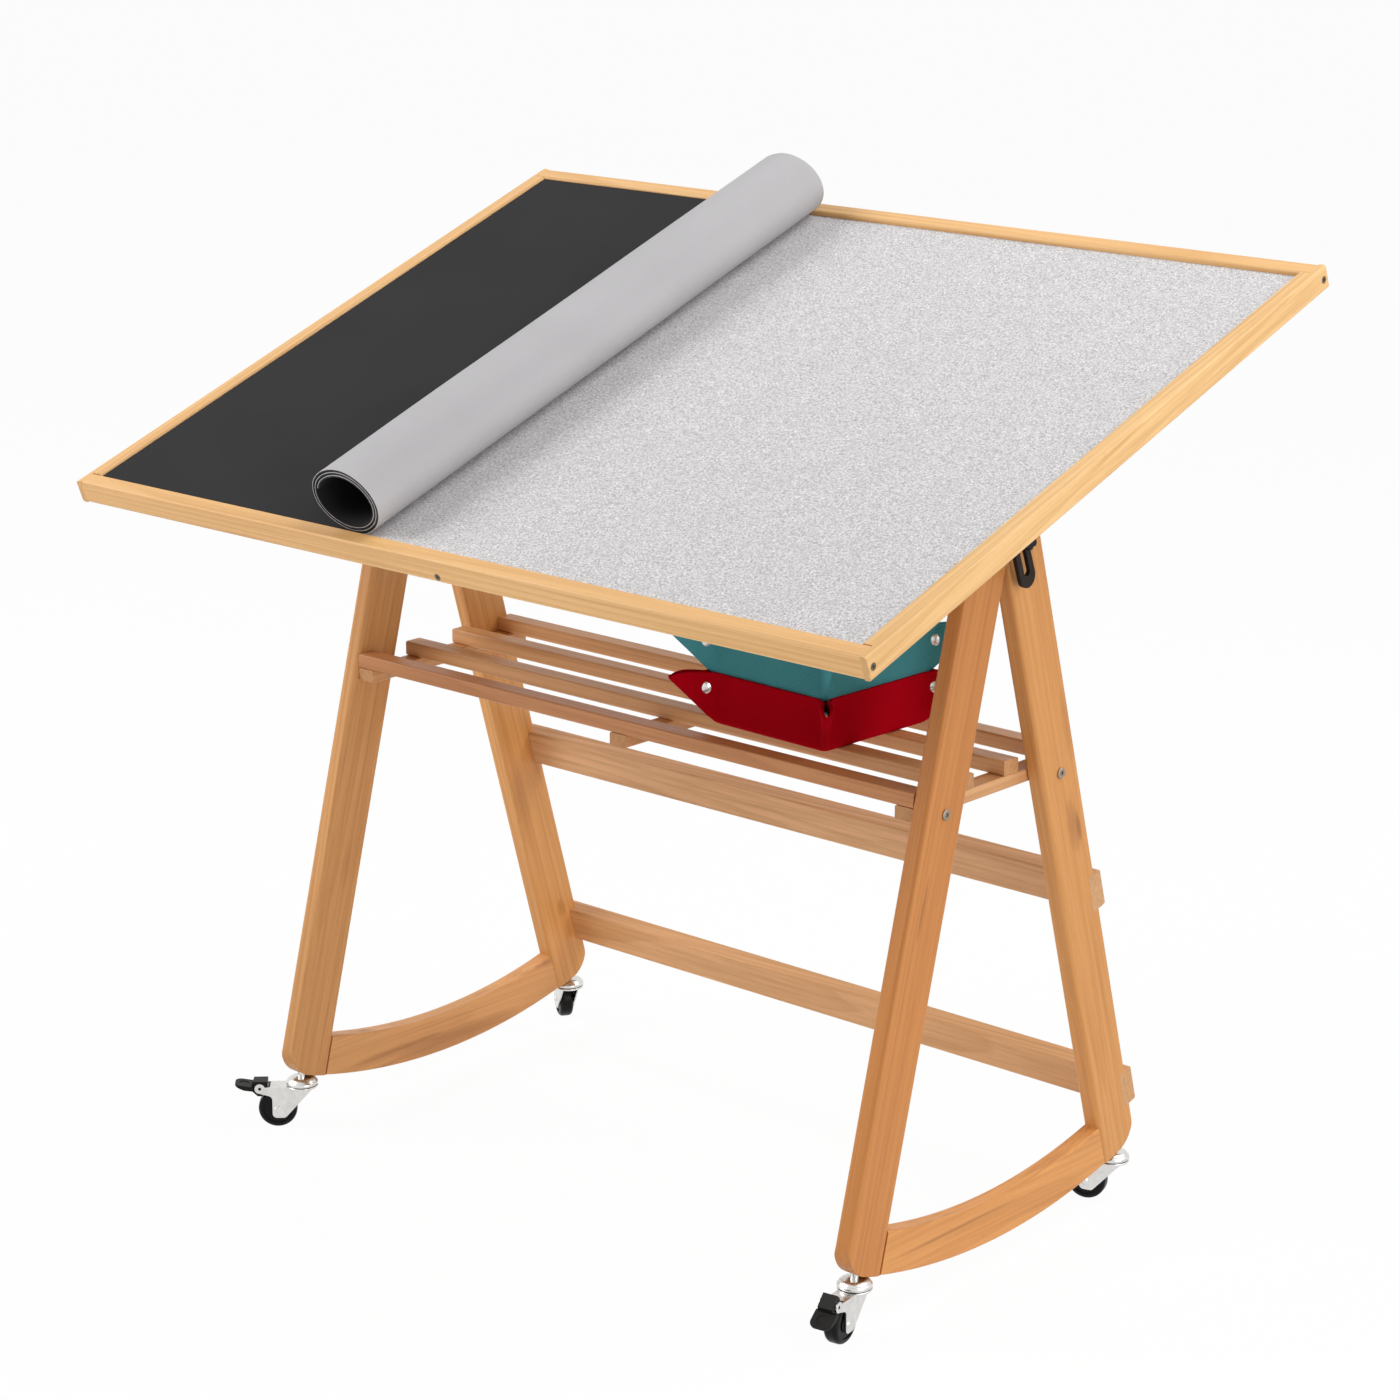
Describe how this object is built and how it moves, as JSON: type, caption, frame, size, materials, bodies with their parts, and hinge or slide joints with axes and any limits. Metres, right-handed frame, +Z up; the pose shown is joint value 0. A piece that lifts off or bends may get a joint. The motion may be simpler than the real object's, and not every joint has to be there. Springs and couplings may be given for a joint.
{
  "type": "tilting jigsaw puzzle table",
  "caption": "Tilting felt-topped jigsaw table on wooden A-frames with casters, a slatted shelf, a roll-back cover mat and nested felt trays.",
  "frame": {"origin": "on the floor, midway across the table and under the middle of its overall depth", "axes": "+X to the right of someone at the front, +Y to the back, +Z up"},
  "size_m": [0.95, 0.6396, 0.9356],
  "materials": {
    "pine": "satin clear lacquer on pine",
    "panel_ply": "unlacquered plywood",
    "grey_felt": "pressed mottled felt",
    "mat_cloth": "black face, light grey back",
    "red_felt": "matt felt",
    "teal_felt": "matt felt",
    "snap_metal": "polished",
    "black_plastic": "moulded",
    "zinc_plate": "bright zinc plate",
    "black_steel": "satin black",
    "nylon": "moulded",
    "screw_steel": "plated"
  },
  "bodies": {
    "base": {"caster_heads": "zinc_plate", "clamp_bolts": "screw_steel", "clamp_washers": "screw_steel", "curved_rail_left": "pine", "curved_rail_right": "pine", "frame_dowels": "pine", "front_leg_left": "pine", "front_leg_right": "pine", "low_stretcher": "pine", "mid_stretcher": "pine", "rear_leg_left": "pine", "rear_leg_right": "pine", "shelf_bearer_left": "pine", "shelf_bearer_middle": "pine", "shelf_bearer_right": "pine", "shelf_bolts": "screw_steel", "shelf_slat_1": "pine", "shelf_slat_2": "pine", "shelf_slat_3": "pine", "shelf_slat_4": "pine", "slat_screws": "screw_steel", "stretcher_screws": "screw_steel"},
    "tilt_carriage": {"slot_slider_left": "nylon", "slot_slider_right": "nylon"},
    "board": {"side_rail_left": "pine", "side_rail_right": "pine", "front_rail": "pine", "rear_rail": "pine", "board_panel": "panel_ply", "felt_surface": "grey_felt", "centre_batten": "pine", "bracket_batten_left": "pine", "bracket_batten_right": "pine", "tilt_bracket_left": "black_steel", "tilt_bracket_right": "black_steel", "rail_screws": "screw_steel", "bracket_screws": "screw_steel"},
    "mat": {"cover_mat": "mat_cloth"},
    "knob_left": {"knob_left": "black_plastic"},
    "knob_right": {"knob_right": "black_plastic"},
    "tray_red": {"tray_red": "red_felt", "tray_red_snaps": "snap_metal"},
    "tray_teal": {"tray_teal": "teal_felt", "tray_teal_snaps": "snap_metal"},
    "caster_front_left": {"caster_fork_front_left": "zinc_plate", "caster_axle_front_left": "zinc_plate"},
    "wheel_front_left": {"caster_wheel_front_left": "black_plastic"},
    "pedal_front_left": {"brake_pedal_front_left": "black_plastic"},
    "caster_front_right": {"caster_fork_front_right": "zinc_plate", "caster_axle_front_right": "zinc_plate"},
    "wheel_front_right": {"caster_wheel_front_right": "black_plastic"},
    "pedal_front_right": {"brake_pedal_front_right": "black_plastic"},
    "caster_rear_left": {"caster_fork_rear_left": "zinc_plate", "caster_axle_rear_left": "zinc_plate"},
    "wheel_rear_left": {"caster_wheel_rear_left": "black_plastic"},
    "caster_rear_right": {"caster_fork_rear_right": "zinc_plate", "caster_axle_rear_right": "zinc_plate"},
    "wheel_rear_right": {"caster_wheel_rear_right": "black_plastic"}
  },
  "joints": [
    {"name": "board_tilt", "type": "hinge", "parent": "base", "child": "tilt_carriage", "pos_m": [0, 0.01457, 0.675], "axis": [1, 0, 0], "range_deg": [-20, 25]},
    {"name": "board_height", "type": "slide", "parent": "tilt_carriage", "child": "board", "axis": [0, -0.342, 0.9397], "range_m": [-0.02, 0.026]},
    {"name": "mat_lift", "type": "slide", "parent": "board", "child": "mat", "axis": [0, -0.342, 0.9397], "range_m": [0, 0.1]},
    {"name": "tray_red_slide", "type": "slide", "parent": "base", "child": "tray_red", "axis": [-1, 0, 0], "range_m": [0, 0.28]},
    {"name": "tray_teal_lift", "type": "slide", "parent": "tray_red", "child": "tray_teal", "axis": [0, 0, 1], "range_m": [0, 0.06]},
    {"name": "knob_left_turn", "type": "hinge", "parent": "base", "child": "knob_left", "pos_m": [-0.38, 0.01457, 0.675], "axis": [-1, 0, 0], "range_deg": [0, 360]},
    {"name": "knob_right_turn", "type": "hinge", "parent": "base", "child": "knob_right", "pos_m": [0.38, 0.01457, 0.675], "axis": [1, 0, 0], "range_deg": [0, 360]},
    {"name": "swivel_front_left", "type": "hinge", "parent": "base", "child": "caster_front_left", "pos_m": [-0.352, -0.16853, 0.042], "axis": [0, 0, 1], "range_deg": [-100, 192]},
    {"name": "spin_front_left", "type": "hinge", "parent": "caster_front_left", "child": "wheel_front_left", "pos_m": [-0.36926, -0.1852, 0.019], "axis": [0.6947, -0.7193, 0], "continuous": true},
    {"name": "brake_front_left", "type": "hinge", "parent": "caster_front_left", "child": "pedal_front_left", "pos_m": [-0.38149, -0.19701, 0.041], "axis": [0.6947, -0.7193, 0], "range_deg": [0, 45]},
    {"name": "swivel_front_right", "type": "hinge", "parent": "base", "child": "caster_front_right", "pos_m": [0.352, -0.16853, 0.042], "axis": [0, 0, 1], "range_deg": [-155, 137]},
    {"name": "spin_front_right", "type": "hinge", "parent": "caster_front_right", "child": "wheel_front_right", "pos_m": [0.35575, -0.19223, 0.019], "axis": [0.9877, 0.1564, 0], "continuous": true},
    {"name": "brake_front_right", "type": "hinge", "parent": "caster_front_right", "child": "pedal_front_right", "pos_m": [0.35841, -0.20902, 0.041], "axis": [0.9877, 0.1564, 0], "range_deg": [-45, 0]},
    {"name": "swivel_rear_left", "type": "hinge", "parent": "base", "child": "caster_rear_left", "pos_m": [-0.352, 0.21017, 0.042], "axis": [0, 0, 1], "continuous": true},
    {"name": "spin_rear_left", "type": "hinge", "parent": "caster_rear_left", "child": "wheel_rear_left", "pos_m": [-0.3719, 0.2236, 0.019], "axis": [-0.5592, -0.829, 0], "continuous": true},
    {"name": "swivel_rear_right", "type": "hinge", "parent": "base", "child": "caster_rear_right", "pos_m": [0.352, 0.21017, 0.042], "axis": [0, 0, 1], "continuous": true},
    {"name": "spin_rear_right", "type": "hinge", "parent": "caster_rear_right", "child": "wheel_rear_right", "pos_m": [0.32905, 0.20316, 0.019], "axis": [0.2924, -0.9563, 0], "continuous": true}
  ]
}
